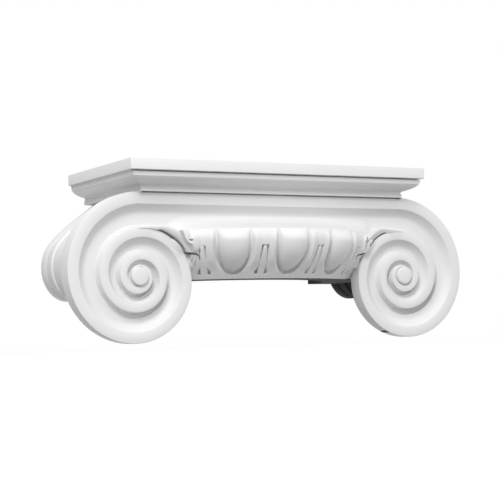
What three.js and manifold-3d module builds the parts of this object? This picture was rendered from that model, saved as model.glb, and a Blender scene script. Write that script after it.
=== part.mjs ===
// Ionic capital for a half-round column, cast in one piece with a flat back.
//
// Millimetres, +Z up, +X right, the decorated front towards -Y. The origin is on the flat back, on the
// centreline, level with the underside of the abacus.

import * as THREE from 'three';
import { mergeVertices } from 'three/addons/utils/BufferGeometryUtils.js';
import Module from 'manifold-3d';

const wasm = await Module();
wasm.setup();

// ---- driving dimensions ----

const ABACUS_HALF_WIDTH = 170;
const ABACUS_DEPTH = 164;          // front of the top slab to the flat back
const FASCIA_HEIGHT = 11.4;
const MOULDING_HEIGHT = 19.6;
const MOULDING_INSET = 18.6;       // how far the moulding steps in under the slab

const FACE_DEPTH = 142;            // rim face of the volutes to the flat back
const EYE_X = 154;
const EYE_Z = -82.5;
const EYE_RADIUS = 9.6;
const EYE_PROUD = 3;

const RIM_REACH = 83.1;            // outer edge of the rim above the eye, where the spiral starts
const RIM_FALL = 36.08;            // how much of it the first turn loses
const CHANNEL_REACH = 70.9;        // inner edge of the rim above the eye
const CHANNEL_FALL = 33.14;
const CHANNEL_TURNS = 2.5;         // the channel dies out against the eye here
const CHANNEL_DEPTH = 8;
const COVE_WIDTH = 9;              // hollow inside the rim, before the channel's flat floor
const WALL_WIDTH = 3;              // steep wall up to the next turn of the rim
const TURN_SOFTNESS = 0.08;        // how gently one turn's fall passes into the next's

const BELT_OUT = 19.7;             // middle of the belt, outward and up from the eye
const BELT_UP = 15;
const BELT_HALF_WIDTH = 28.6;
const BELT_HALF_HEIGHT = 35;
const BELT_DEPTH = 16;
const RING_DEPTH = 30;             // back of the narrow ring beside the belt

const ECHINUS_BOTTOM_Z = -85.5;
const ECHINUS_TOP_Z = -36.5;
const ECHINUS_SLOPE_TOP_Z = -20.5; // above the eggs it slopes back into the canalis
const ECHINUS_BOTTOM_RADIUS = 156;
const ECHINUS_TOP_RADIUS = 180.5;
const ECHINUS_UPRIGHT_Z = -40.5;   // the face leans out up to here, then stands upright
const ECHINUS_SLOPE_RADIUS = 131;
const EGG_PITCH = 20.5;            // degrees round the column
const EGG_HALF_WIDTH = 15.5;
const EGG_BOTTOM_Z = -78.5;
const EGG_SHOULDER_Z = -46;
const EGG_RISE = 6;
const EGG_GROOVE = 2;
const DART_TOP_Z = -54;
const DART_GROOVE = 2;

const SHAFT_RADIUS = 119;
const SHAFT_RECESS_TOP_Z = -57;

// ---- helpers ----

const radians = THREE.MathUtils.degToRad;
const { lerp, smoothstep } = THREE.MathUtils;

function toSolid(geometry) {
  const bare = geometry.index ? geometry.toNonIndexed() : geometry.clone();
  bare.deleteAttribute('normal');
  bare.deleteAttribute('uv');
  const welded = mergeVertices(bare, 1e-4);
  return new wasm.Manifold(new wasm.Mesh({
    numProp: 3,
    vertProperties: new Float32Array(welded.attributes.position.array),
    triVerts: new Uint32Array(welded.index.array),
  }));
}

function toGeometry(solid) {
  const mesh = solid.getMesh();
  const geometry = new THREE.BufferGeometry();
  geometry.setAttribute('position', new THREE.BufferAttribute(mesh.vertProperties, 3));
  geometry.setIndex(new THREE.BufferAttribute(mesh.triVerts, 1));
  geometry.computeVertexNormals();
  return geometry;
}

// Lays a flat ring out in its own plane, so that it runs round to the left.
function layOut(ring) {
  const normal = new THREE.Vector3();
  ring.forEach((point, i) => normal.add(point.clone().cross(ring[(i + 1) % ring.length])));
  normal.normalize();
  const least = Math.abs(normal.z) < 0.7 ? new THREE.Vector3(0, 0, 1) : new THREE.Vector3(1, 0, 0);
  const right = least.cross(normal).normalize();
  const up = normal.clone().cross(right);
  return ring.map((point) => new THREE.Vector2(point.dot(right), point.dot(up)));
}

// Skins a row of closed rings that all have the same number of points, and closes both ends.
function loft(rings) {
  const count = rings[0].length;
  const index = [];
  for (let ring = 0; ring < rings.length - 1; ring += 1) {
    for (let i = 0; i < count; i += 1) {
      const a = ring * count + i;
      const b = ring * count + (i + 1) % count;
      index.push(a, b, b + count, a, b + count, a + count);
    }
  }
  const last = (rings.length - 1) * count;
  for (const [a, b, c] of THREE.ShapeUtils.triangulateShape(layOut(rings[0]), [])) {
    index.push(c, b, a);
  }
  for (const [a, b, c] of THREE.ShapeUtils.triangulateShape(layOut(rings.at(-1)), [])) {
    index.push(last + a, last + b, last + c);
  }
  const geometry = new THREE.BufferGeometry();
  const positions = rings.flat().flatMap((point) => point.toArray());
  geometry.setAttribute('position', new THREE.Float32BufferAttribute(positions, 3));
  geometry.setIndex(index);
  return toSolid(facingOut(geometry));
}

// Turns every face of a closed geometry round if it was wound inside out.
function facingOut(geometry) {
  const points = geometry.attributes.position;
  const index = geometry.index.array;
  const [a, b, c] = [new THREE.Vector3(), new THREE.Vector3(), new THREE.Vector3()];
  let volume = 0;
  for (let i = 0; i < index.length; i += 3) {
    a.fromBufferAttribute(points, index[i]);
    b.fromBufferAttribute(points, index[i + 1]);
    c.fromBufferAttribute(points, index[i + 2]);
    volume += a.dot(b.cross(c));
  }
  if (volume < 0) {
    for (let i = 0; i < index.length; i += 3) {
      [index[i], index[i + 1]] = [index[i + 1], index[i]];
    }
  }
  return geometry;
}

function box(low, high) {
  const size = high.map((value, axis) => value - low[axis]);
  const geometry = new THREE.BoxGeometry(...size);
  geometry.translate(...low.map((value, axis) => value + size[axis] / 2));
  return toSolid(geometry);
}

// ---- abacus: a slab over a moulding, mitred round the three free sides ----

const BAND_INSET = 3;
const BAND_TOE = 3.8;
const BAND_HEIGHT = 5.6;
const OVOLO_START = [4.7, 5.6];    // inset and drop where the slope under the band begins
const OVOLO_END = [15.6, 12.2];
const OVOLO_STEPS = 4;
const OVOLO_BULGE = 1.7;           // 1 would be a straight slope
const FILLET = [17.8, 15.3];
const COVE_STEPS = 6;
const QUIRK = 1.3;                 // narrow undercuts along the front only
const QUIRK_DEPTH = 5;

// Rows of inset at the sides, drop below the slab, and extra inset along the front.
function abacusProfile() {
  const profile = [
    [0, -FASCIA_HEIGHT, 0],
    [0, 0, 0],
    [BAND_INSET, 0, QUIRK_DEPTH],
    [BAND_INSET, QUIRK, QUIRK_DEPTH],
    [BAND_INSET, QUIRK, 0],
    [BAND_TOE, BAND_HEIGHT, 0],
    [...OVOLO_START, 0],
  ];
  for (let i = 1; i <= OVOLO_STEPS; i += 1) {
    const fallen = i / OVOLO_STEPS;
    profile.push([
      lerp(OVOLO_START[0], OVOLO_END[0], fallen ** OVOLO_BULGE),
      lerp(OVOLO_START[1], OVOLO_END[1], fallen),
      0,
    ]);
  }
  for (let i = 1; i <= COVE_STEPS; i += 1) {
    const turn = (i / COVE_STEPS) * Math.PI / 2;
    profile.push([
      lerp(OVOLO_END[0], FILLET[0], Math.sin(turn)),
      lerp(OVOLO_END[1], FILLET[1], 1 - Math.cos(turn)),
      0,
    ]);
  }
  profile.push(
    [MOULDING_INSET, MOULDING_HEIGHT - QUIRK, 0],
    [MOULDING_INSET, MOULDING_HEIGHT - QUIRK, QUIRK_DEPTH],
    [MOULDING_INSET, MOULDING_HEIGHT, QUIRK_DEPTH],
  );
  return profile;
}

function abacus() {
  const rings = abacusProfile().map(([inset, drop, undercut]) => {
    const side = ABACUS_HALF_WIDTH - inset;
    const front = inset + undercut - ABACUS_DEPTH;
    const z = MOULDING_HEIGHT - drop;
    return [[-side, 0], [-side, front], [side, front], [side, 0]]
      .map(([x, y]) => new THREE.Vector3(x, y, z));
  });
  return loft(rings);
}

// ---- volutes: the spiral's reach from the eye after a number of turns ----

const softRamp = (value) => (value + Math.hypot(value, TURN_SOFTNESS)) / 2;
const wound = (turns) => turns - softRamp(turns - 1) / 3 - softRamp(turns - 2) / 3;
const rimReach = (turns) => RIM_REACH - RIM_FALL * wound(turns);
const channelReach = (turns) => CHANNEL_REACH - CHANNEL_FALL * wound(turns);

// A point at a distance from the eye, at a number of turns from straight up, turning outwards.
function roundEye(side, reach, turns, y) {
  const angle = turns * 2 * Math.PI;
  const out = EYE_X + reach * Math.sin(angle);
  return new THREE.Vector3(side * out, y, EYE_Z + reach * Math.cos(angle));
}

// ---- bolsters: each volute's outline runs back to a belt at the flat back ----

const OUTLINE_STEPS = 44;
const BELT_APEX = [-12, 82.5];     // where the belt's outline meets the abacus, from the eye
const BELT_SHOULDER = [26, 57];
const BELT_FROM = radians(45);
const BELT_TO = radians(290);
const SHOULDER_SHARE = 0.16;
const FLARE_START = 12;            // behind the rim face
const FLARE_END = 78;
const GROOVE = 1.5;
const GROOVE_BEVEL = 0.5;

function beltPoint(share) {
  const onEllipse = (angle) => new THREE.Vector2(
    BELT_OUT + BELT_HALF_WIDTH * Math.sin(angle),
    BELT_UP + BELT_HALF_HEIGHT * Math.cos(angle),
  );
  if (share < SHOULDER_SHARE) {
    const shoulder = new THREE.QuadraticBezierCurve(
      new THREE.Vector2(...BELT_APEX),
      new THREE.Vector2(...BELT_SHOULDER),
      onEllipse(BELT_FROM),
    );
    return shoulder.getPoint(share / SHOULDER_SHARE);
  }
  return onEllipse(lerp(BELT_FROM, BELT_TO, (share - SHOULDER_SHARE) / (1 - SHOULDER_SHARE)));
}

function bolsterRing(side, y, inset) {
  const behind = y + FACE_DEPTH;
  const blend = smoothstep(behind, FLARE_START, FLARE_END);
  const shrink = 1 - inset / BELT_HALF_WIDTH;
  const ring = [];
  for (let i = 0; i <= OUTLINE_STEPS; i += 1) {
    const share = i / OUTLINE_STEPS;
    const belt = beltPoint(share);
    const beltX = BELT_OUT + (belt.x - BELT_OUT) * shrink;
    const beltZ = BELT_UP + (belt.y - BELT_UP) * shrink;
    const front = roundEye(side, rimReach(share), share, y);
    front.x = lerp(front.x, side * (EYE_X + beltX), blend);
    front.z = lerp(front.z, EYE_Z + beltZ, blend);
    ring.push(front);
  }
  return ring;
}

function bolster(side) {
  const stations = [[-FACE_DEPTH, 0]];
  for (let behind = FLARE_START; behind <= FLARE_END; behind += 6) {
    stations.push([behind - FACE_DEPTH, 0]);
  }
  stations.push(
    [-RING_DEPTH - GROOVE_BEVEL, GROOVE],
    [-RING_DEPTH, 0],
    [-BELT_DEPTH - 3 * GROOVE_BEVEL, 0],
    [-BELT_DEPTH - 2 * GROOVE_BEVEL, GROOVE],
    [-BELT_DEPTH, GROOVE],
    [-BELT_DEPTH + GROOVE_BEVEL, 0],
    [0, 0],
  );
  return loft(stations.map(([y, inset]) => bolsterRing(side, y, inset)));
}

// ---- channel: one cutter, wound in at both ends and straight across the canalis ----

const CHANNEL_STEPS_PER_TURN = 22;
const CHANNEL_COVE_STEPS = 4;
const COVE_ROUNDNESS = 1.7;        // 2 would be a full quarter-round
const CUTTER_PROUD = 5;
const SAG = 10;                    // the canalis is cut lower behind the echinus
const SAG_FROM = 25;               // inwards from the eyes
const SAG_TO = 45;

// Reach from the eye and depth behind the rim face: a hollow, a flat floor and a steep wall.
function channelProfile(turns, sag) {
  const outer = channelReach(turns);
  const inner = Math.max(rimReach(turns + 1), EYE_RADIUS) - sag;
  const width = outer - inner;
  const depth = Math.min(CHANNEL_DEPTH, width);
  const cove = Math.min(COVE_WIDTH, width / 2);
  const profile = [[outer, -CUTTER_PROUD]];
  for (let i = 0; i <= CHANNEL_COVE_STEPS; i += 1) {
    const across = i / CHANNEL_COVE_STEPS;
    profile.push([outer - cove * across, depth * (1 - (1 - across) ** COVE_ROUNDNESS)]);
  }
  profile.push(
    [inner + Math.min(WALL_WIDTH, width / 4), depth],
    [inner, 0],
    [inner, -CUTTER_PROUD],
  );
  return profile;
}

function channelHalf(side) {
  const count = Math.round(CHANNEL_TURNS * CHANNEL_STEPS_PER_TURN);
  const sections = [];
  for (let i = 0; i <= count; i += 1) {
    const turns = i / CHANNEL_STEPS_PER_TURN;
    sections.push(channelProfile(turns, 0)
      .map(([reach, depth]) => roundEye(side, reach, turns, depth - FACE_DEPTH)));
  }
  return sections;
}

function canalisSection(x, sag) {
  return channelProfile(0, sag)
    .map(([reach, depth]) => new THREE.Vector3(x, depth - FACE_DEPTH, EYE_Z + reach));
}

function channelCutter() {
  const canalis = [
    canalisSection(SAG_FROM - EYE_X, 0),
    canalisSection(SAG_TO - EYE_X, SAG),
    canalisSection(EYE_X - SAG_TO, SAG),
    canalisSection(EYE_X - SAG_FROM, 0),
  ];
  return loft([...channelHalf(-1).reverse(), ...canalis, ...channelHalf(1)]);
}

// ---- canalis: the straight body between the volutes, and the block behind it ----

const BODY_HALF_WIDTH = 140;
const PANEL_THICKNESS = 20;
const OVERLAP = 1;

function body() {
  const bottom = EYE_Z + rimReach(1);
  const top = EYE_Z + RIM_REACH;
  const panel = box([-EYE_X, -FACE_DEPTH, bottom], [EYE_X, PANEL_THICKNESS - FACE_DEPTH, top]);
  const block = box([-BODY_HALF_WIDTH, -FACE_DEPTH, bottom], [BODY_HALF_WIDTH, 0, OVERLAP]);
  return panel.add(block);
}

// ---- echinus: a half ring of eggs and darts, leaning out towards the top ----

const ECHINUS_LEVELS = 15;
const SLOPE_LEVELS = 4;
const SLOPE_BULGE = 0.85;          // 1 would be a straight slope
const COLUMNS_PER_PITCH = 14;
const CARVED_PITCHES = 4;          // carved this far round, half to each side of the middle
const PLAIN_COLUMNS = 6;           // from there to the flat back, on each side
const GROOVE_OUTER = 1.25;         // the sunk line round an egg, in egg half-widths
const DART_HALF_WIDTH = 2.5;
const DART_GROOVE_END = 6.5;

function echinusAngles() {
  const carved = CARVED_PITCHES * COLUMNS_PER_PITCH;
  const reach = radians(EGG_PITCH * CARVED_PITCHES / 2);
  const angles = [];
  for (let i = -carved / 2; i <= carved / 2; i += 1) {
    angles.push(2 * reach * i / carved);
  }
  for (let i = 1; i <= PLAIN_COLUMNS; i += 1) {
    const angle = lerp(reach, Math.PI / 2, i / PLAIN_COLUMNS);
    angles.push(angle);
    angles.unshift(-angle);
  }
  return angles;
}

// How far the carving stands out from the leaning face, at a distance round from the nearest egg.
function carving(round, z) {
  const below = Math.max(EGG_SHOULDER_Z - z, 0) / (EGG_SHOULDER_Z - EGG_BOTTOM_Z);
  const fromEgg = Math.hypot(round / EGG_HALF_WIDTH, below);
  if (fromEgg < 1) {
    return EGG_RISE * Math.sqrt(1 - fromEgg ** 2);
  }
  if (fromEgg < GROOVE_OUTER) {
    return -EGG_GROOVE;
  }
  const fromDart = radians(EGG_PITCH / 2) * ECHINUS_TOP_RADIUS - Math.abs(round);
  const besideDart = fromDart > DART_HALF_WIDTH && fromDart < DART_GROOVE_END;
  return besideDart && z > EGG_BOTTOM_Z && z < DART_TOP_Z ? -DART_GROOVE : 0;
}

// A quarter-round that stands upright behind the tops of the eggs.
function faceRadius(z) {
  const height = Math.min((z - ECHINUS_BOTTOM_Z) / (ECHINUS_UPRIGHT_Z - ECHINUS_BOTTOM_Z), 1);
  return lerp(ECHINUS_BOTTOM_RADIUS, ECHINUS_TOP_RADIUS, Math.sin(height * Math.PI / 2));
}

function echinusRing(z) {
  const face = faceRadius(z);
  const pitch = radians(EGG_PITCH);
  return echinusAngles().map((angle) => {
    const round = (angle - Math.round(angle / pitch) * pitch) * face;
    const carved = Math.abs(angle) <= pitch * CARVED_PITCHES / 2;
    const radius = face + (carved ? carving(round, z) : 0);
    return new THREE.Vector3(radius * Math.sin(angle), -radius * Math.cos(angle), z);
  });
}

function echinus() {
  const rings = [];
  for (let level = 0; level <= ECHINUS_LEVELS; level += 1) {
    rings.push(echinusRing(lerp(ECHINUS_BOTTOM_Z, ECHINUS_TOP_Z, level / ECHINUS_LEVELS)));
  }
  for (let level = 0; level <= SLOPE_LEVELS; level += 1) {
    const rise = level / SLOPE_LEVELS;
    const radius = lerp(ECHINUS_TOP_RADIUS, ECHINUS_SLOPE_RADIUS, rise ** SLOPE_BULGE);
    const z = lerp(ECHINUS_TOP_Z, ECHINUS_SLOPE_TOP_Z, rise);
    rings.push(echinusAngles().map((angle) => (
      new THREE.Vector3(radius * Math.sin(angle), -radius * Math.cos(angle), z)
    )));
  }
  return loft(rings);
}

// ---- palmettes: a leaf out of each volute, rolled up at its tip over the corner of the echinus ----

const LEAF_FROM = 1;               // turns of the spiral, where the leaf leaves the rim
const LEAF_TO = 0.815;
const LEAF_STEPS = 10;
const LEAF_WIDTH = 7.4;
const LEAF_ROOT_WIDTH = 0.6;
const LEAF_PROUD = 9;              // how far its upper edge stands in front of the rim
const LEAF_ROOT_PROUD = 0.75;
const LEAF_WIDENED = 0.12;         // turns from the root to its full width
const LEAF_LIFTS = 0.02;           // turns from the root, where it starts to stand proud
const LEAF_LIFTED = 0.13;
const LEAF_BACK_Y = -132;
const ROLL = { centre: [99, -152.5, EYE_Z + 32], radii: [7.4, 5.5, 9] };
const LOBE = { centre: [95.5, -134, EYE_Z + 15.5], radii: [7, 7, 8.5] };

function leaf(side) {
  const rings = [];
  for (let i = 0; i <= LEAF_STEPS; i += 1) {
    const turns = lerp(LEAF_FROM, LEAF_TO, i / LEAF_STEPS);
    const gone = LEAF_FROM - turns;
    const inner = rimReach(turns);
    const outer = inner + LEAF_ROOT_WIDTH + LEAF_WIDTH * smoothstep(gone, 0, LEAF_WIDENED);
    const proud = LEAF_PROUD * smoothstep(gone, LEAF_LIFTS, LEAF_LIFTED);
    rings.push([
      roundEye(side, inner, turns, -FACE_DEPTH - LEAF_ROOT_PROUD),
      roundEye(side, outer, turns, -FACE_DEPTH - LEAF_ROOT_PROUD - proud),
      roundEye(side, outer, turns, LEAF_BACK_Y),
      roundEye(side, inner, turns, LEAF_BACK_Y),
    ]);
  }
  return loft(rings);
}

function bud(side, { centre, radii }) {
  const geometry = new THREE.SphereGeometry(1, 16, 10);
  geometry.scale(...radii);
  geometry.translate(side * centre[0], centre[1], centre[2]);
  return toSolid(geometry);
}

// A round boss facing the front, standing proud of the rim.
function eye(side) {
  const thickness = EYE_PROUD + CHANNEL_DEPTH + PANEL_THICKNESS / 2;
  const geometry = new THREE.CylinderGeometry(EYE_RADIUS, EYE_RADIUS, thickness, 32);
  geometry.translate(side * EYE_X, thickness / 2 - EYE_PROUD - FACE_DEPTH, EYE_Z);
  return toSolid(geometry);
}

// ---- shaft recess: the half-round socket that drops over the top of the column ----

const RECESS_CLEARANCE = 10;       // the cutter runs this far past the underside
const RECESS_SIDES = 64;

function shaftRecess() {
  const height = SHAFT_RECESS_TOP_Z - ECHINUS_BOTTOM_Z + RECESS_CLEARANCE;
  const geometry = new THREE.CylinderGeometry(SHAFT_RADIUS, SHAFT_RADIUS, height, RECESS_SIDES);
  geometry.rotateX(Math.PI / 2);
  geometry.translate(0, 0, SHAFT_RECESS_TOP_Z - height / 2);
  return toSolid(geometry);
}

// ---- the casting ----

function capital() {
  let solid = abacus().add(body());
  for (const side of [-1, 1]) {
    solid = solid.add(bolster(side));
  }
  solid = solid.subtract(channelCutter()).add(echinus());
  for (const side of [-1, 1]) {
    solid = solid.add(eye(side)).add(leaf(side)).add(bud(side, ROLL)).add(bud(side, LOBE));
  }
  return solid.subtract(shaftRecess());
}

const primedFoam = new THREE.MeshStandardMaterial({ color: 0xe9e9e9, roughness: 0.6, metalness: 0 });
const casting = new THREE.Mesh(toGeometry(capital()), primedFoam);
casting.name = 'capital';

const part = new THREE.Group();
part.add(casting);

export default part;
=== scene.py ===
import math

import bmesh
import bpy
from mathutils import Matrix, Vector


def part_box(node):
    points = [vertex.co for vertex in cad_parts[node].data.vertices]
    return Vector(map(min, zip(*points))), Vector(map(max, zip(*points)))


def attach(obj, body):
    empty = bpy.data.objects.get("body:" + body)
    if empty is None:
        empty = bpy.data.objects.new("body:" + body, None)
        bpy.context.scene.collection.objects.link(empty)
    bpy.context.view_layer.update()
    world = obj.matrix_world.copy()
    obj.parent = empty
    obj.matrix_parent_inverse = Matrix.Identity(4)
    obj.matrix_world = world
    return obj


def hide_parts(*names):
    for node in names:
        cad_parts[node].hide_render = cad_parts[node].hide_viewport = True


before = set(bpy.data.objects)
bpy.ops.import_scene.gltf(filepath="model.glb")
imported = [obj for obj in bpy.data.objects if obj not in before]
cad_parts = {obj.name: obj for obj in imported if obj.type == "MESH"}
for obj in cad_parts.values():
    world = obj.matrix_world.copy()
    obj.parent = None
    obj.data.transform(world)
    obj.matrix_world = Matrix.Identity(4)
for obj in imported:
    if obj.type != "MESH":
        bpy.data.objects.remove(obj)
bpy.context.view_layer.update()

# An Ionic capital for a half-round column: one casting in rigid polyurethane foam, primed white.
# Lengths are in millimetres until a mesh is made. The origin is on the flat back, on the centreline,
# level with the underside of the abacus; the front faces -Y.

MM = 0.001
LOW, HIGH = (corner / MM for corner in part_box("capital"))


def lerp(a, b, share):
    return a + (b - a) * share


def clamp(value, low=0.0, high=1.0):
    return max(low, min(high, value))


def smooth(value, low, high):
    share = clamp((value - low) / (high - low))
    return share * share * (3 - 2 * share)


# ---- meshes ----

WELD = 2e-6


def skin(rings, capped=True):
    """Vertices and faces of a tube through closed rings of equal length."""
    count = len(rings[0])
    faces = []
    for ring in range(len(rings) - 1):
        for i in range(count):
            a = ring * count + i
            b = ring * count + (i + 1) % count
            faces.append((a, b, b + count, a + count))
    if capped:
        faces.append(tuple(range(count))[::-1])
        faces.append(tuple(range((len(rings) - 1) * count, len(rings) * count)))
    return [point for ring in rings for point in ring], faces


def make(name, points, faces):
    """A mesh object from points in millimetres, welded, with its faces turned out."""
    mesh = bpy.data.meshes.new(name)
    mesh.from_pydata([Vector(point) * MM for point in points], [], faces)
    piece = bpy.data.objects.new(name, mesh)
    bpy.context.scene.collection.objects.link(piece)
    bm = bmesh.new()
    bm.from_mesh(mesh)
    bmesh.ops.remove_doubles(bm, verts=bm.verts, dist=WELD)
    bmesh.ops.recalc_face_normals(bm, faces=bm.faces)
    bm.to_mesh(mesh)
    bm.free()
    return piece


def combine(piece, tool, operation):
    """Joins a tool to a piece or cuts it away, and throws the tool away."""
    change = piece.modifiers.new("combine", "BOOLEAN")
    change.operation = operation
    change.solver = "MANIFOLD"
    change.object = tool
    bpy.context.view_layer.update()
    result = bpy.data.meshes.new_from_object(piece.evaluated_get(bpy.context.evaluated_depsgraph_get()))
    piece.modifiers.clear()
    piece.data = result
    bpy.data.objects.remove(tool)
    return piece


# ---- volutes ----

RIM_REACH = 83.1
RIM_FALL = 36.08
CHANNEL_REACH = 70.9
CHANNEL_FALL = 33.14
TURN_SOFTNESS = 0.08
TURNS = 3


def wound(turns):
    def ramp(value):
        return (value + math.hypot(value, TURN_SOFTNESS)) / 2
    return turns - ramp(turns - 1) / 3 - ramp(turns - 2) / 3


def rim_reach(turns):
    return RIM_REACH - RIM_FALL * wound(turns)


def channel_reach(turns):
    return CHANNEL_REACH - CHANNEL_FALL * wound(turns)


# The spiral is widest a little before the quarter turn, and lowest a little before the half turn.
TURNING = [i / 400 for i in range(400)]
EYE_X = HIGH.x - max(rim_reach(t) * math.sin(2 * math.pi * t) for t in TURNING)
EYE_Z = LOW.z + max(-rim_reach(t) * math.cos(2 * math.pi * t) for t in TURNING)
FACE_Y = -142.0
EYE_RADIUS, EYE_PROUD, EYE_STEP = 9.0, 1.8, 1.2
STEPS = 80
EDGE, EDGE_SOFTNESS = 0.8, 0.3
CHANNEL_DEPTH, COVE_START = 8.0, 0.15
NARROWEST, FULL_DEPTH_WIDTH = 0.6, 7.0
COVE_WIDTH, COVE_ROUNDNESS, COVE_STEPS = 9.0, 1.7, 12
WALL_WIDTH, STEEP_WALL_WIDTH, WALL_ROUNDNESS, WALL_STEPS = 3.2, 1.0, 1.3, 4
FLOOR_STEPS = 4
# The groove along the foot of the wall, and the wider one beside the second turn of the right volute.
FOOT_WIDTH, FOOT_SHARE, FOOT_DEPTH, FOOT_ROUNDNESS, FOOT_STEPS = 4.5, 0.3, 5.5, 0.3, 5
SLOT_WIDTH, SLOT_SHARE, SLOT_DEPTH, SLOT_CHANNEL_DEPTH = 6.0, 0.45, 8.5, 5.5


def round_eye(side, reach, turns, y):
    angle = turns * 2 * math.pi
    return Vector((side * (EYE_X + reach * math.sin(angle)), y, EYE_Z + reach * math.cos(angle)))


def section(turns, side, sag=0.0):
    """Reach and depth of each point across the rim and the channel: a cove, a floor, a groove and a wall."""
    outer = rim_reach(turns)
    next_rim = max(rim_reach(turns + 1), EYE_RADIUS) - sag
    inner = max(channel_reach(turns), next_rim + NARROWEST)
    width = inner - next_rim
    fullness = width / FULL_DEPTH_WIDTH
    edge = min(EDGE, (outer - inner) / 3)
    angle = 2 * math.pi * turns
    lowness = (1 - math.cos(angle)) / 2
    lower_right = clamp((side * math.sin(angle) - math.cos(angle)) / math.sqrt(2)) ** 2
    slotted = lower_right if side > 0 and turns < 1 else 0
    deepest = lerp(CHANNEL_DEPTH, SLOT_CHANNEL_DEPTH, slotted)
    depth = EDGE + (deepest - EDGE) * clamp(fullness - 0.1)
    cove = min(COVE_WIDTH, width / 2)
    wall = min(lerp(WALL_WIDTH, STEEP_WALL_WIDTH, lowness), width / 5)
    foot = min(lerp(FOOT_WIDTH, SLOT_WIDTH, slotted), lerp(FOOT_SHARE, SLOT_SHARE, slotted) * width)
    bottom = depth + lerp(FOOT_DEPTH, SLOT_DEPTH, slotted) * lower_right * clamp(fullness - 0.2)
    points = [(outer, EDGE), (outer - EDGE_SOFTNESS * edge, EDGE_SOFTNESS * edge)]
    points += [(outer - edge, 0), (inner + edge / 2, 0)]
    for i in range(COVE_STEPS + 1):
        across = i / COVE_STEPS
        hollow = 1 - (1 - across) ** COVE_ROUNDNESS
        points.append((inner - cove * across, lerp(COVE_START, depth, hollow)))
    for i in range(1, FLOOR_STEPS):
        points.append((lerp(inner - cove, next_rim + wall + foot, i / FLOOR_STEPS), depth))
    for i in range(FOOT_STEPS):
        across = i / FOOT_STEPS
        reach = next_rim + wall + foot * (1 - across)
        points.append((reach, lerp(depth, bottom, across ** FOOT_ROUNDNESS)))
    for i in range(WALL_STEPS + 1):
        across = i / WALL_STEPS
        points.append((next_rim + wall * (1 - across), lerp(bottom, EDGE, across ** WALL_ROUNDNESS)))
    return points


CANALIS_STEPS = 30
SAG, SAG_FROM, SAG_TO = 10.0, 0.09, 0.16


def sagging(step):
    """How far the canalis is cut down behind the echinus, clear of the volutes."""
    return SAG * smooth(min(step, CANALIS_STEPS - step) / CANALIS_STEPS, SAG_FROM, SAG_TO)


def relief():
    """The carved front of both volutes and the canalis between them, as stations of points."""
    stations = []
    turns_list = [i / STEPS for i in range(TURNS * STEPS + 1)]
    for turns in reversed(turns_list):
        across = section(turns, -1)
        stations.append([round_eye(-1, reach, turns, FACE_Y + depth) for reach, depth in across])
    for i in range(1, CANALIS_STEPS):
        x = lerp(-EYE_X, EYE_X, i / CANALIS_STEPS)
        across = section(0, 1, sagging(i))
        stations.append([Vector((x, FACE_Y + depth, EYE_Z + reach)) for reach, depth in across])
    for turns in turns_list:
        across = section(turns, 1)
        stations.append([round_eye(1, reach, turns, FACE_Y + depth) for reach, depth in across])
    return stations


# ---- bolsters ----

BELT_OUT, BELT_UP = 19.7, 15.0
BELT_HALF_WIDTH, BELT_HALF_HEIGHT = 28.6, 35.0
BELT_APEX = Vector((-12, 82.5))
BELT_SHOULDER = Vector((26, 57))
BELT_FROM, BELT_TO = math.radians(45), math.radians(290)
SHOULDER_SHARE = 0.16
FLARE_START, FLARE_END, FLARE_STEP, FLARE_ROWS = 12, 78, 3, 26
NECK_Y, RING_Y, GROOVE_Y, BELT_Y = -50.0, -31.2, -17.0, -16.0
GROOVE, BACK_EDGE = 1.5, 0.3


def belt_point(share):
    def on_ellipse(angle):
        out = BELT_OUT + BELT_HALF_WIDTH * math.sin(angle)
        return Vector((out, BELT_UP + BELT_HALF_HEIGHT * math.cos(angle)))
    if share < SHOULDER_SHARE:
        u = share / SHOULDER_SHARE
        end = on_ellipse(BELT_FROM)
        return BELT_APEX * (1 - u) ** 2 + BELT_SHOULDER * 2 * u * (1 - u) + end * u ** 2
    return on_ellipse(lerp(BELT_FROM, BELT_TO, (share - SHOULDER_SHARE) / (1 - SHOULDER_SHARE)))


def bolster_points(side, y, inset):
    """The outline of one bolster at a distance from the back, between the spiral's and the belt's."""
    blend = smooth(y - FACE_Y, FLARE_START, FLARE_END)
    shrink = 1 - inset / BELT_HALF_WIDTH
    points = []
    for i in range(STEPS + 1):
        share = i / STEPS
        belt = belt_point(share)
        front = round_eye(side, rim_reach(share), share, y)
        x = lerp(front.x, side * (EYE_X + BELT_OUT + (belt.x - BELT_OUT) * shrink), blend)
        z = lerp(front.z, EYE_Z + BELT_UP + (belt.y - BELT_UP) * shrink, blend)
        points.append(Vector((x, y, z)))
    return points


def bolster_rows():
    """Rows of y and inset: the flare, a neck, a narrow ring, a fine groove and the belt."""
    rows = [(FACE_Y + EDGE, 0)] + [(FACE_Y + 2 + FLARE_STEP * i, 0) for i in range(FLARE_ROWS)]
    rows += [(NECK_Y, 0.8), (RING_Y - 2.8, GROOVE)]
    rows += [(RING_Y, GROOVE), (RING_Y + 0.3, 0.9), (RING_Y + 1, 0)]
    rows += [(GROOVE_Y - 1, 0), (GROOVE_Y - 0.3, 0.4), (GROOVE_Y, GROOVE)]
    rows += [(BELT_Y, GROOVE), (BELT_Y + 0.3, 0.4), (BELT_Y + 1, 0)]
    return rows + [(-2 * BACK_EDGE, 0), (0, BACK_EDGE)]


def straight(a, b, low):
    """Points between two corners of the outline, the lower ones sagging as the canalis does."""
    points = []
    for i in range(1, CANALIS_STEPS):
        drop = sagging(i) if low else 0
        points.append(a.lerp(b, i / CANALIS_STEPS) - Vector((0, 0, drop)))
    return points


def body_ring(y, inset):
    """Both bolsters and the straight edges between them."""
    right = bolster_points(1, y, inset)
    left = bolster_points(-1, y, inset)[::-1]
    return right + straight(right[-1], left[0], True) + left + straight(left[-1], right[0], False)


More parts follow.
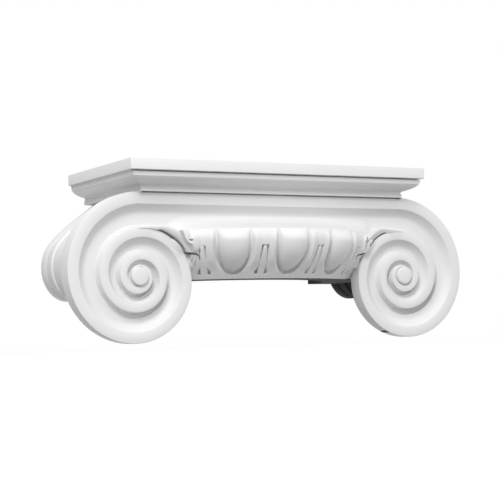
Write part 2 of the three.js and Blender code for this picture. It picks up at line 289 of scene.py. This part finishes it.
def body():
    """The carved front, and the loop of its outline carried back to the wall."""
    stations = relief()
    across = len(stations[0])
    points = [point for station in stations for point in station]
    faces = []
    for s in range(len(stations) - 1):
        for i in range(across - 1):
            a = s * across + i
            faces.append((a, a + 1, a + 1 + across, a + across))
    # The innermost turn leaves a small hole round the eye at each end of the run.
    for run in (range(len(stations)), range(len(stations) - 1, -1, -1)):
        inner_edge = [s * across + across - 1 for s in run[:STEPS + 1]][::-1]
        seam = [run[0] * across + i for i in range(across - 2, 0, -1)]
        faces.append(tuple(inner_edge + seam))
    rings = [body_ring(y, inset) for y, inset in bolster_rows()]
    ring_points, ring_faces = skin(rings, capped=False)
    count = len(ring_points) // len(rings)
    ring_faces.append(tuple(range(len(ring_points) - count, len(ring_points))))
    offset = len(points)
    faces += [tuple(i + offset for i in face) for face in ring_faces]
    return make("body", points + ring_points, faces)


# ---- abacus ----

ABACUS_HALF_WIDTH = 170.0
ABACUS_DEPTH = 164.0
FASCIA_HEIGHT = 11.4
MOULDING_HEIGHT = HIGH.z - FASCIA_HEIGHT
MOULDING_INSET = 18.6
BAND_INSET, BAND_TOE, BAND_HEIGHT = 3.0, 3.8, 5.6
OVOLO_START, OVOLO_END, OVOLO_BULGE = 4.5, (15.6, 12.2), 1.7
FILLET, FILLET_FACE = (18.6, 14.8), 17.6
MOULDING_STEPS = 12
QUIRK, QUIRK_DEPTH = 1.3, 5.0
CORNER = 1.6
CORNER_STEPS = 4
SUNK = 0.6


def hollow(start, end, steps):
    """A quarter ellipse between two (inset, drop) points, leaving the first one inwards."""
    points = []
    for i in range(1, steps + 1):
        turn = i / steps * math.pi / 2
        points.append((lerp(start[0], end[0], math.sin(turn)), lerp(start[1], end[1], 1 - math.cos(turn))))
    return points


def abacus_profile():
    """Inset at the sides, drop, and the extra inset along the front, where the mould is undercut."""
    top = -FASCIA_HEIGHT
    slab = [(0.9, top), (0.25, top + 0.25), (0, top + 0.9), (0, -0.5), (0.4, 0)]
    moulding = [(BAND_TOE, BAND_HEIGHT)]
    for i in range(MOULDING_STEPS + 1):
        fallen = i / MOULDING_STEPS
        inset = lerp(OVOLO_START, OVOLO_END[0], fallen ** OVOLO_BULGE)
        moulding.append((inset, lerp(BAND_HEIGHT, OVOLO_END[1], fallen)))
    moulding += hollow(OVOLO_END, FILLET, MOULDING_STEPS)
    moulding += [(FILLET_FACE, FILLET[1] + 0.8), (FILLET_FACE, MOULDING_HEIGHT + SUNK)]
    quirk = [(BAND_INSET, 0, QUIRK_DEPTH), (BAND_INSET, QUIRK, QUIRK_DEPTH), (BAND_INSET, QUIRK + 0.1, 0)]
    return [(*point, 0) for point in slab] + quirk + [(*point, 0) for point in moulding]


def abacus():
    """The square slab over its moulding, with rounded front corners and a flat back."""
    rings = []
    for inset, drop, undercut in abacus_profile():
        side = ABACUS_HALF_WIDTH - inset
        front = inset + undercut - ABACUS_DEPTH
        z = MOULDING_HEIGHT - drop
        ring = [Vector((-side, 0, z))]
        for sign in (-1, 1):
            centre = Vector((sign * (side - CORNER), front + CORNER, z))
            for i in range(CORNER_STEPS + 1):
                share = i / CORNER_STEPS
                turn = (share if sign > 0 else 1 - share) * math.pi / 2
                ring.append(centre + CORNER * Vector((sign * math.sin(turn), -math.cos(turn), 0)))
        ring.append(Vector((side, 0, z)))
        rings.append(ring)
    return make("abacus", *skin(rings))


def foot_quirk():
    """A cutter for the narrow shadow line between the moulding and the top of the rim."""
    side = ABACUS_HALF_WIDTH - MOULDING_INSET + 0.5
    top = QUIRK - SUNK
    corners = [(-side, -SUNK), (side, -SUNK), (side, top), (-side, top)]
    rings = [[Vector((x, y, z)) for x, z in corners] for y in (FACE_Y - 13, FACE_Y + QUIRK_DEPTH)]
    return make("foot_quirk", *skin(rings))


# ---- echinus ----

ECHINUS_BOTTOM, ECHINUS_TOP = -3.0, 46.0
BOTTOM_RADIUS, TOP_RADIUS, UPRIGHT = 156.0, 180.5, 42.0
EGG_PITCH = math.radians(20.5)
EGG_HALF_WIDTH, EGG_BOTTOM, EGG_SHOULDER = 16.2, 3.8, 33.5
SQUARE = 2.25
EGG_PROUD, EGG_UPRIGHT, EGG_FLATNESS, EGG_ROUNDNESS = 5.8, 0.16, 2.4, 0.55
GROOVE_DEEPEST, GROOVE_SHALLOWEST, GROOVE_WIDTH = 6.5, 2.0, 1.6
LIP_FOOT, LIP_HEIGHT, LIP_WIDTH, LIP_FALL, LIP_FADE = -2.6, 2.2, 6.0, 0.6, 12.0
DART_TOP = 28.5
DART_TOP_HALF, DART_FOOT_HALF = 2.0, 4.2
LINE_WIDTH, LINE_DEPTH = 1.3, 1.5
BAR_FLAT, BAR_REACH, BAR_DEPTH = 0.5, 1.2, 0.6
PIT_FLAT, PIT_REACH, PIT_DEPTH = 0.5, 1.5, 2.4
# The outer darts, beside the palmettes, are less sharply cut.
WORN, WORN_FROM, WORN_TO = 0.7, math.radians(25), math.radians(28)
FRAME_BOTTOM, FRAME_SHOULDER = 0.2, 10.5
BED_DEPTH, BED_REACH = 5.5, 6.8
TOP_ROUNDING, TOP_ROLL = 32.0, 12.0
EGG_FADE = 13.0
CARVED = math.radians(50)
CARVED_COLUMNS, PLAIN_COLUMNS = 480, 8
LEVELS = 84
SLOPE_TOP, SLOPE_LEVELS, SLOPE_HOLLOW = 63.0, 20, 2.2
SLOPE_X, SLOPE_Y = 130.0, -133.5


def face_radius(up):
    """A quarter-round that stands upright behind the tops of the eggs."""
    height = clamp((up - ECHINUS_BOTTOM) / (UPRIGHT - ECHINUS_BOTTOM))
    return lerp(BOTTOM_RADIUS, TOP_RADIUS, math.sin(height * math.pi / 2))


def outline(across, up, half_width, bottom, shoulder):
    """How far a point is from the middle of a U, in parts of its half width."""
    below = max(shoulder - up, 0) / (shoulder - bottom)
    return (abs(across / half_width) ** SQUARE + below ** SQUARE) ** (1 / SQUARE)


def dart_cutting(angle, around, from_dart, up):
    """Depth of the lines beside a dart, the bar and pits at its top and the sunk beds at its foot."""
    half = lerp(DART_FOOT_HALF, DART_TOP_HALF, clamp((up - FRAME_BOTTOM) / (DART_TOP - FRAME_BOTTOM)))
    half *= clamp((up - FRAME_BOTTOM + 3) / 6)
    below_top = 1 - smooth(up, DART_TOP - 0.5, DART_TOP + 0.5)
    line = 1 - smooth(abs(from_dart - half - LINE_WIDTH / 2), LINE_WIDTH * 0.3, LINE_WIDTH)
    line *= below_top * smooth(up, FRAME_BOTTOM, FRAME_BOTTOM + 4)
    bar = 1 - smooth(abs(up - DART_TOP), BAR_FLAT, BAR_REACH)
    bar *= 1 - smooth(from_dart, DART_TOP_HALF, DART_TOP_HALF + BAR_REACH)
    from_pit = math.hypot(from_dart - DART_TOP_HALF - 0.4, up - DART_TOP)
    pit = 1 - smooth(from_pit, PIT_FLAT, PIT_REACH)
    frame_half = EGG_PITCH / 2 * face_radius(up) - DART_FOOT_HALF * 0.9
    bed = smooth(outline(around, up, frame_half, FRAME_BOTTOM, FRAME_SHOULDER), 1.0, 1.06)
    bed *= smooth(from_dart, half - 0.4, half + 0.6)
    bed *= 1 - smooth(from_dart, BED_REACH - 1.5, BED_REACH + 0.5)
    bed *= smooth(up, FRAME_BOTTOM + 1.4, FRAME_BOTTOM + 2) * below_top
    sharpness = 1 - WORN * smooth(abs(angle), WORN_FROM, WORN_TO)
    return sharpness * (LINE_DEPTH * line + BAR_DEPTH * bar + PIT_DEPTH * pit) + BED_DEPTH * bed


def carving(angle, up):
    """Height of the eggs, their frames and the darts above the leaning face."""
    around = abs(angle - round(angle / EGG_PITCH) * EGG_PITCH) * face_radius(up)
    egg = outline(around, up, EGG_HALF_WIDTH, EGG_BOTTOM, EGG_SHOULDER)
    groove = lerp(GROOVE_DEEPEST, GROOVE_SHALLOWEST, smooth(up, EGG_BOTTOM, EGG_SHOULDER))
    if egg < 1:
        proud = EGG_PROUD + EGG_UPRIGHT * (TOP_RADIUS - face_radius(up))
        return -groove + (proud + groove) * (1 - egg ** EGG_FLATNESS) ** EGG_ROUNDNESS
    beyond = (egg - 1) * EGG_HALF_WIDTH
    lip = lerp(LIP_FOOT, LIP_HEIGHT, smooth(beyond, GROOVE_WIDTH - 1, LIP_WIDTH))
    lip *= 1 - LIP_FALL * smooth(beyond, LIP_WIDTH, 2 * LIP_WIDTH)
    lip *= smooth(up, EGG_BOTTOM, EGG_BOTTOM + LIP_FADE)
    height = lerp(-groove, lip, smooth(beyond, GROOVE_WIDTH - 0.4, GROOVE_WIDTH))
    from_dart = EGG_PITCH / 2 * face_radius(up) - around
    return height - dart_cutting(angle, around, from_dart, up)


def echinus():
    """The half ring of eggs and darts, and the slope from their tops back into the canalis."""
    angles = [lerp(-CARVED, CARVED, i / CARVED_COLUMNS) for i in range(CARVED_COLUMNS + 1)]
    for i in range(1, PLAIN_COLUMNS + 1):
        angle = lerp(CARVED, math.pi / 2, i / PLAIN_COLUMNS)
        angles = [-angle] + angles + [angle]
    levels = [lerp(ECHINUS_BOTTOM, ECHINUS_TOP, i / LEVELS) for i in range(LEVELS + 1)]
    levels += [lerp(ECHINUS_TOP, SLOPE_TOP, i / SLOPE_LEVELS) for i in range(1, SLOPE_LEVELS + 1)]
    rings = []
    for up in levels:
        rounded = clamp(up - (ECHINUS_TOP - TOP_ROLL), 0, TOP_ROLL)
        pulled = TOP_ROUNDING - math.sqrt(TOP_ROUNDING ** 2 - rounded ** 2)
        plain = face_radius(up) - pulled
        shown = 1 - clamp((up - ECHINUS_TOP + EGG_FADE) / EGG_FADE) ** 2
        above = clamp((up - ECHINUS_TOP) / (SLOPE_TOP - ECHINUS_TOP))
        shoulder = (1 - above) ** SLOPE_HOLLOW
        ring = []
        for angle in angles:
            carved = shown > 0 and abs(angle) < CARVED
            radius = plain + (shown * carving(angle, up) if carved else 0)
            x = radius * math.sin(angle)
            y = -radius * math.cos(angle)
            x = lerp(clamp(x, -SLOPE_X, SLOPE_X), x, shoulder)
            y = lerp(max(y, SLOPE_Y), y, shoulder)
            ring.append(Vector((x, y, EYE_Z + up)))
        rings.append(ring)
    return make("echinus", *skin(rings))


# ---- palmettes: a leaf out of each volute, rolled up at its tip over the corner of the echinus ----

LEAF_FROM, LEAF_TO = 1.0, 0.815
LEAF_STEPS, LEAF_ACROSS = 26, 10
LEAF_WIDTH, LEAF_PROUD = 7.4, {-1: 9.0, 1: 6.5}
LEAF_ROOT_Y, LEAF_BACK_Y = -142.6, -132.0
LEAF_RISE = {-1: 0.35, 1: 0.95}
LEAF_ROOT_WIDTH, LEAF_WIDENED = 0.6, 0.12
LEAF_LIFTS, LEAF_LIFTED, LEAF_EDGE_FALL = 0.02, 0.13, 0.3
CREVICE, CREVICE_OPENS, CREVICE_OPEN = 0.8, 0.055, 0.085
ROLL = {-1: Vector((97.2, -149.0, 32.0)), 1: Vector((102.0, -146.5, 31.5))}
ROLL_RADII = {-1: Vector((7.4, 5.5, 9.0)), 1: Vector((6.4, 5.0, 9.5))}
ROLL_SIDES, ROLL_SQUARENESS, ROLL_TILT = 28, 0.5, 0.25
LOBE = Vector((95.5, -134.0, 15.5))
LOBE_RADII = Vector((7.0, 7.0, 8.5))
BERRY = Vector((88.0, -142.5, 14.4))
BERRY_RADIUS, BERRY_SIDES = 1.9, 14
CURL_WIDTH, CURL_FROM_Y, CURL_TO_Y = 1.9, -157.0, -144.0
CUT_WIDTH, CUT_FROM_Y = 2.2, -175.0
GAP_TO_Y, TURN_TO_Y, FOLD_TO_Y = -133.0, -147.0, -148.5
RIB_WIDTH, RIB_FROM_Y, RIB_TO_Y = 0.5, -150.0, -139.6


def leaf(side):
    """A band that leaves the rim of the volute and widens, its upper edge standing proud of the lower."""
    rings = []
    for i in range(LEAF_STEPS + 1):
        turns = lerp(LEAF_FROM, LEAF_TO, i / LEAF_STEPS)
        gone = LEAF_FROM - turns
        width = LEAF_ROOT_WIDTH + LEAF_WIDTH * smooth(gone, 0.0, LEAF_WIDENED)
        proud = LEAF_PROUD[side] * smooth(gone, LEAF_LIFTS, LEAF_LIFTED)
        gap = CREVICE * (2 * smooth(gone, CREVICE_OPENS, CREVICE_OPEN) - 1)
        ring = []
        for k in range(LEAF_ACROSS + 1):
            across = k / LEAF_ACROSS
            reach = rim_reach(turns) + gap + width * across
            lift = proud * across ** LEAF_RISE[side] * (1 - LEAF_EDGE_FALL * across ** 5)
            ring.append(round_eye(side, reach, turns, LEAF_ROOT_Y - lift))
        for k in (LEAF_ACROSS, 0):
            reach = rim_reach(turns) + gap + width * k / LEAF_ACROSS
            ring.append(round_eye(side, reach, turns, LEAF_BACK_Y))
        rings.append(ring)
    return make("leaf", *skin(rings))


def bud(side, centre, radii, sides=ROLL_SIDES, squareness=1.0, tilt=0.0):
    """A smooth rounded boss, flatter in front the lower its squareness, and tilted to face down."""
    rings = []
    for i in range(1, sides // 2):
        tip = i / (sides // 2) * math.pi
        ring = []
        for k in range(sides):
            turn = 2 * math.pi * k / sides
            x, z = radii.x * math.cos(turn) * math.sin(tip), radii.z * math.sin(turn) * math.sin(tip)
            y = -radii.y * math.copysign(abs(math.cos(tip)) ** squareness, math.cos(tip)) - tilt * z
            ring.append(Vector((side * (centre.x + x), centre.y + y, EYE_Z + centre.z + z)))
        rings.append(ring)
    return make("bud", *skin(rings))


def slit(side, path, width, front, back):
    """A narrow cutter along a path of (x, up) points, tapering to both ends."""
    points = [Vector(point) for point in path]
    rings = []
    for i, point in enumerate(points):
        along = (points[min(i + 1, len(points) - 1)] - points[max(i - 1, 0)]).normalized()
        taper = 0.3 + 0.7 * math.sin(math.pi * (i + 0.5) / len(points)) ** 0.5
        across = Vector((-along.y, along.x)) * width / 2 * taper
        ring = []
        for offset, y in ((across, front), (-across, front), (-across, back), (across, back)):
            ring.append(Vector((side * (point.x + offset.x), y, EYE_Z + point.y + offset.y)))
        rings.append(ring)
    return make("slit", *skin(rings))


def beside_rim(turns, gap):
    """Where a slit runs just outside the rim, as (x, up)."""
    point = round_eye(1, rim_reach(turns) + gap, turns, 0)
    return point.x, point.z - EYE_Z


def leaf_edge(side):
    """The raised edge of the leaf where it curls under the roll."""
    curl = [(113.3, 44.5), (111.1, 40.5), (109.0, 36.2), (106.2, 32.8), (102.6, 31.6)]
    return slit(side, curl, CURL_WIDTH, CURL_FROM_Y, CURL_TO_Y)


def palmette_cutters(side):
    """The dark gap between leaf and rim, the turn of the roll, and the ribs of the lobe under it."""
    gap = [beside_rim(lerp(0.93, 0.82, i / 12), 0.7) for i in range(13)]
    gap += [(98.5, 22.0), (94.5, 21.5), (91.5, 19.5), (89.8, 16.0)]
    turn = [(106.6, 38.8), (105.1, 36.4), (103.2, 35.0), (100.6, 35.2)]
    cutters = [slit(side, gap, CUT_WIDTH, CUT_FROM_Y, GAP_TO_Y)]
    cutters.append(slit(side, turn, CUT_WIDTH, CUT_FROM_Y, TURN_TO_Y))
    if side > 0:
        fold = [(103.2, 40.0), (103.0, 36.0), (102.4, 32.0), (101.6, 28.0), (100.4, 24.0)]
        cutters.append(slit(side, fold, CUT_WIDTH, CUT_FROM_Y, FOLD_TO_Y))
    for lean in (-1, 1):
        rib = [(95.5 + lean * (1.2 + 0.25 * i), 21 - 2.2 * i) for i in range(6)]
        cutters.append(slit(side, rib, RIB_WIDTH, RIB_FROM_Y, RIB_TO_Y))
    return cutters


# ---- round things ----


def turned(name, profile, sides):
    """A solid of revolution about +Y from (radius, y) points that start and end on the axis."""
    rings = [[Vector((r * math.cos(2 * math.pi * i / sides), y, r * math.sin(2 * math.pi * i / sides)))
              for i in range(sides)] for r, y in profile]
    return make(name, *skin(rings))


def eye(side):
    """A low button with a rounded face."""
    front = FACE_Y - EYE_STEP
    turns = [math.radians(a) for a in (6, 16, 28, 40, 52, 62, 70, 78, 84)]
    profile = [(EYE_RADIUS * math.sin(a), front - 0.4 - EYE_PROUD * math.cos(a) ** 0.5) for a in turns]
    profile += [(EYE_RADIUS, front), (EYE_RADIUS, FACE_Y + 14)]
    piece = turned("eye", profile, 64)
    piece.data.transform(Matrix.Translation(Vector((side * EYE_X, 0, EYE_Z)) * MM))
    return piece


SHAFT_RADIUS, SHAFT_SIDES = 119.0, 128
RECESS_TOP = -57.0


def shaft_recess():
    """A cutter for the round seat that takes the head of the shaft."""
    turns = [2 * math.pi * i / SHAFT_SIDES for i in range(SHAFT_SIDES)]
    rim = [SHAFT_RADIUS * Vector((math.cos(turn), math.sin(turn), 0)) for turn in turns]
    rings = [[point + Vector((0, 0, z)) for point in rim] for z in (EYE_Z - 40, RECESS_TOP)]
    return make("shaft_recess", *skin(rings))


# ---- the casting ----

capital = body()
for tool in (abacus(), echinus(), eye(-1), eye(1)):
    combine(capital, tool, "UNION")
for side in (-1, 1):
    combine(capital, leaf(side), "UNION")
    combine(capital, bud(side, LOBE, LOBE_RADII), "UNION")
    roll = bud(side, ROLL[side], ROLL_RADII[side], ROLL_SIDES, ROLL_SQUARENESS, ROLL_TILT)
    combine(capital, roll, "UNION")
    if side < 0:
        combine(capital, leaf_edge(side), "UNION")
    for cutter in palmette_cutters(side):
        combine(capital, cutter, "DIFFERENCE")
    combine(capital, bud(side, BERRY, Vector((1, 1, 1)) * BERRY_RADIUS, BERRY_SIDES), "UNION")
combine(capital, foot_quirk(), "DIFFERENCE")
combine(capital, shaft_recess(), "DIFFERENCE")
capital.name = "primed_casting"
capital.data.shade_smooth()
capital.data.set_sharp_from_angle(angle=math.radians(32))

# The faces behind and under the front take a dark grey finish that is painted shade, standing for the deep
# shade in the recess, on the back and under the bolsters.
PAINTED_SHADE_FROM_Y = -126.0
PAINTED_SHADE_TO_X = EYE_X + BELT_OUT - 1
BOLSTER_INNER_X = 110.0
BORDER_WELD = 1e-6


def under_bolster(face, side):
    """Whether a face belongs to the lower half of one bolster, behind the white front."""
    middle = face.calc_center_median() / MM
    return middle.y > PAINTED_SHADE_FROM_Y and middle.z < EYE_Z and side * middle.x > BOLSTER_INNER_X


def score_painted_shade_border():
    """Splits the faces under the bolsters where the painted shade stops, so that its border is straight."""
    bm = bmesh.new()
    bm.from_mesh(capital.data)
    for side in (-1, 1):
        faces = [face for face in bm.faces if under_bolster(face, side)]
        edges = dict.fromkeys(edge for face in faces for edge in face.edges)
        verts = dict.fromkeys(vert for face in faces for vert in face.verts)
        border = Vector((side * PAINTED_SHADE_TO_X, 0, 0)) * MM
        cut = [*faces, *edges, *verts]
        bmesh.ops.bisect_plane(bm, geom=cut, dist=BORDER_WELD, plane_co=border, plane_no=(1, 0, 0))
    bm.to_mesh(capital.data)
    bm.free()


def in_painted_shade(face):
    """Whether a face takes the painted shade: on the back, in the recess or underneath, behind the front."""
    middle = face.center / MM
    low = middle.z < EYE_Z + ECHINUS_BOTTOM + 0.3
    behind = middle.y > PAINTED_SHADE_FROM_Y and abs(middle.x) < PAINTED_SHADE_TO_X
    from_axis = math.hypot(middle.x, middle.y)
    in_recess = from_axis < SHAFT_RADIUS + 0.5 and middle.z < RECESS_TOP + 0.5
    underside = face.normal.z < -0.9 and abs(middle.x) < EYE_X - 20
    return middle.y > -0.4 or in_recess or (low and (behind or underside))


# ---- finishes ----


def linear(hex_colour):
    """A linear RGBA colour from an sRGB hex value."""
    channels = [int(hex_colour[i:i + 2], 16) / 255 for i in (1, 3, 5)]
    return [c / 12.92 if c <= 0.04045 else ((c + 0.055) / 1.055) ** 2.4 for c in channels] + [1.0]


def add(tree, kind, settings=(), links=()):
    """A node with its settings, and links given as (input, other node, output)."""
    node = tree.nodes.new(kind)
    for name, value in dict(settings).items():
        if name in node.inputs:
            node.inputs[name].default_value = value
        else:
            setattr(node, name, value)
    for name, other, output in links:
        tree.links.new(node.inputs[name], other.outputs[output])
    return node


def primed_foam():
    """White acrylic primer sprayed on moulded foam: flat, faintly mottled, with a fine orange peel."""
    material = bpy.data.materials.new("sprayed_white_primer")
    material.use_nodes = True
    tree = material.node_tree
    shader = tree.nodes["Principled BSDF"]
    shader.inputs["Roughness"].default_value = 0.55
    shader.inputs["IOR"].default_value = 1.5
    place = add(tree, "ShaderNodeTexCoord")
    cloud = add(tree, "ShaderNodeTexNoise", {"Scale": 28.0, "Detail": 3.0}, [("Vector", place, "Object")])
    tint = add(tree, "ShaderNodeMix", {"data_type": "RGBA"}, [("Factor", cloud, "Fac")])
    tint.inputs["A"].default_value = linear("#dadada")
    tint.inputs["B"].default_value = linear("#dfdfdf")
    tree.links.new(shader.inputs["Base Color"], tint.outputs["Result"])
    peel = add(tree, "ShaderNodeTexNoise", {"Scale": 900.0, "Detail": 2.0}, [("Vector", place, "Object")])
    bump = add(tree, "ShaderNodeBump", {"Strength": 0.03, "Distance": 0.0002}, [("Height", peel, "Fac")])
    tree.links.new(shader.inputs["Normal"], bump.outputs["Normal"])
    return material


def painted_shade_foam():
    """Painted shade for the back, the recess and the undersides: a dark, dull grey with faint streaks of
    noise.
    """
    material = bpy.data.materials.new("painted_shade_dark_grey")
    material.use_nodes = True
    tree = material.node_tree
    shader = tree.nodes["Principled BSDF"]
    shader.inputs["Roughness"].default_value = 0.9
    shader.inputs["Specular IOR Level"].default_value = 0.2
    place = add(tree, "ShaderNodeTexCoord")
    mottle = add(tree, "ShaderNodeTexNoise", {"Scale": 120.0, "Detail": 3.0}, [("Vector", place, "Object")])
    shade = add(tree, "ShaderNodeMix", {"data_type": "RGBA"}, [("Factor", mottle, "Fac")])
    shade.inputs["A"].default_value = linear("#1e1e1e")
    shade.inputs["B"].default_value = linear("#363636")
    tree.links.new(shader.inputs["Base Color"], shade.outputs["Result"])
    return material


# Painted shade: the back, the shaft recess and the low faces behind the front get the dark grey material.
score_painted_shade_border()
capital.data.materials.clear()
capital.data.materials.append(primed_foam())
capital.data.materials.append(painted_shade_foam())
for face in capital.data.polygons:
    face.material_index = 1 if in_painted_shade(face) else 0
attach(capital, "root")
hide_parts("capital")

# ---- studio ----

FLOOR_REACH, FLOOR_DROP = 30.0, 0.25


def stage_floor():
    """A wide matt white floor that glows a little, so that it stays pale at its far edge."""
    mesh = bpy.data.meshes.new("studio_floor")
    z = LOW.z * MM - FLOOR_DROP
    corners = [(x * FLOOR_REACH, y * FLOOR_REACH, z) for x, y in ((-1, -1), (1, -1), (1, 1), (-1, 1))]
    mesh.from_pydata(corners, [], [(0, 1, 2, 3)])
    floor = bpy.data.objects.new("studio_floor", mesh)
    bpy.context.scene.collection.objects.link(floor)
    material = bpy.data.materials.new("matt_white_paint")
    material.use_nodes = True
    shader = material.node_tree.nodes["Principled BSDF"]
    shader.inputs["Base Color"].default_value = linear("#f8f8f8")
    shader.inputs["Roughness"].default_value = 0.9
    shader.inputs["Emission Color"].default_value = linear("#ffffff")
    shader.inputs["Emission Strength"].default_value = 0.35
    mesh.materials.append(material)
    # The floor throws no light back up, which keeps the undersides grey.
    floor.visible_diffuse = False


def area_light(name, place, aim, size, watts):
    """A square lamp in metres and watts, turned towards a point."""
    light = bpy.data.lights.new(name, "AREA")
    light.energy = watts
    light.size = size
    lamp = bpy.data.objects.new(name, light)
    bpy.context.scene.collection.objects.link(lamp)
    lamp.location = place
    lamp.rotation_euler = (Vector(aim) - Vector(place)).to_track_quat("-Z", "Y").to_euler()


def camera():
    """Front left, a little below the middle, looking slightly up, as the object is usually shown."""
    turn, tilt, roll = math.radians(28.351), math.radians(3.361), math.radians(-1.445)
    ahead = Vector((math.sin(turn) * math.cos(tilt), math.cos(turn) * math.cos(tilt), math.sin(tilt)))
    right = Vector((math.cos(turn), -math.sin(turn), 0))
    above = right.cross(ahead)
    across = right * math.cos(roll) + above * math.sin(roll)
    upward = above * math.cos(roll) - right * math.sin(roll)
    data = bpy.data.cameras.new("camera")
    data.sensor_width = 36.0
    data.lens = 107.4
    view = bpy.data.objects.new("camera", data)
    bpy.context.scene.collection.objects.link(view)
    place = Vector((-0.74547, -1.46515, -0.14448))
    view.matrix_world = Matrix.Translation(place) @ Matrix((across, upward, -ahead)).transposed().to_4x4()
    bpy.context.scene.camera = view


def soft_surround():
    """A white surround, dimmer below and to the left, which gives the carving its gentle shading."""
    world = bpy.data.worlds.new("studio")
    world.use_nodes = True
    bpy.context.scene.world = world
    tree = world.node_tree
    backdrop = tree.nodes["Background"]
    place = add(tree, "ShaderNodeTexCoord")
    split = add(tree, "ShaderNodeSeparateXYZ", {}, [("Vector", place, "Generated")])
    low = {"From Min": -0.25, "From Max": 0.0, "To Min": 0.42, "To Max": 1.0}
    left = {"From Min": -1.0, "From Max": 0.0, "To Min": 0.55, "To Max": 1.0}
    low_grade = add(tree, "ShaderNodeMapRange", low, [("Value", split, "Z")])
    left_grade = add(tree, "ShaderNodeMapRange", left, [("Value", split, "X")])
    both = add(tree, "ShaderNodeMath", {"operation": "MULTIPLY"})
    tree.links.new(both.inputs[0], low_grade.outputs["Result"])
    tree.links.new(both.inputs[1], left_grade.outputs["Result"])
    tree.links.new(backdrop.inputs["Strength"], both.outputs["Value"])
    backdrop.inputs["Color"].default_value = (1, 1, 1, 1)


KEY_PLACE, KEY_AIM = (-1.15, -1.6, 1.5), (0, -0.1, -0.05)
KEY_SIZE, KEY_WATTS = 0.9, 38

# One large soft lamp, high in front to the left, rounds the eggs; the white surround fills the rest.
stage_floor()
area_light("key", KEY_PLACE, KEY_AIM, KEY_SIZE, KEY_WATTS)
camera()
soft_surround()
bpy.context.scene.view_settings.view_transform = "Standard"
